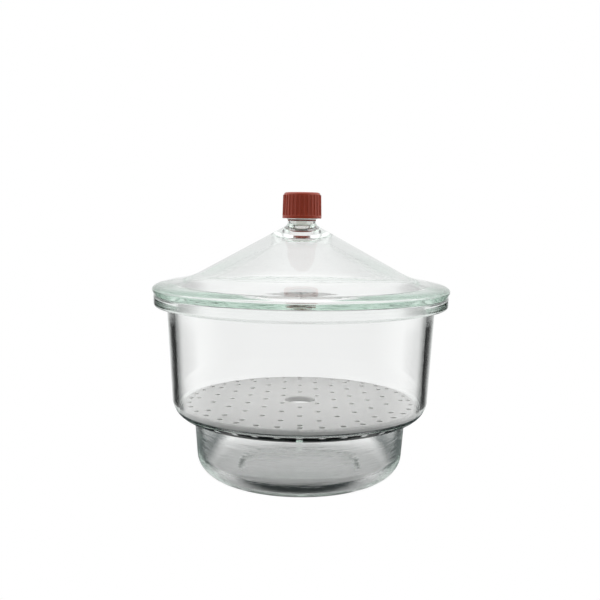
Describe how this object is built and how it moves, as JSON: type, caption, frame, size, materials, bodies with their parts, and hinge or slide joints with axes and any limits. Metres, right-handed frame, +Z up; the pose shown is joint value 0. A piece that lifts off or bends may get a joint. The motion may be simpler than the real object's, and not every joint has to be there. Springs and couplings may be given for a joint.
{
  "type": "glass desiccator",
  "caption": "Clear pressed-glass laboratory desiccator: flanged vessel and conical lid with a screw-cap knob, and a perforated plate that holds samples above the drying agent.",
  "frame": {"origin": "centre of the foot, on the surface that the vessel stands on", "axes": "+Z up along the vessel's axis of symmetry, towards the knob; X and Y are any two level directions"},
  "size_m": [0.3018, 0.3018, 0.2876],
  "materials": {
    "vessel_glass": "clear pressed glass, faintly green in the thick rims",
    "lid_glass": "clear pressed glass, fire-polished, ground on its underside",
    "porcelain": "thin clear glaze over white porcelain",
    "red_plastic": "moulded, satin",
    "stem_plastic": "moulded, off-white and slightly translucent",
    "gasket_rubber": "smooth, red",
    "liner_silicone": "smooth"
  },
  "bodies": {
    "vessel": {"base_vessel": "vessel_glass"},
    "plate": {"perforated_plate": "porcelain"},
    "lid_assembly": {"lid": "lid_glass", "knob_stem": "stem_plastic", "stem_gasket": "gasket_rubber", "retaining_nut": "red_plastic", "nut_gasket": "liner_silicone"},
    "liner": {"cap_liner": "liner_silicone"},
    "cap": {"knob_cap": "red_plastic"}
  },
  "joints": [
    {"name": "lid_lift", "type": "slide", "parent": "vessel", "child": "lid_assembly", "axis": [0, 0, 1], "range_m": [0, 0.15]},
    {"name": "plate_lift", "type": "slide", "parent": "vessel", "child": "plate", "axis": [0, 0, 1], "range_m": [0, 0.11]},
    {"name": "cap_lift", "type": "slide", "parent": "lid_assembly", "child": "liner", "axis": [0, 0, 1], "range_m": [0, 0.01201]},
    {"name": "cap_turn", "type": "hinge", "parent": "liner", "child": "cap", "pos_m": [0, 0, 0.2744], "axis": [0, 0, 1], "range_deg": [0, 1080]}
  ],
  "couplings": [
    {"joint": "cap_lift", "follows": "cap_turn", "m_per_rad": 0.00063662}
  ]
}
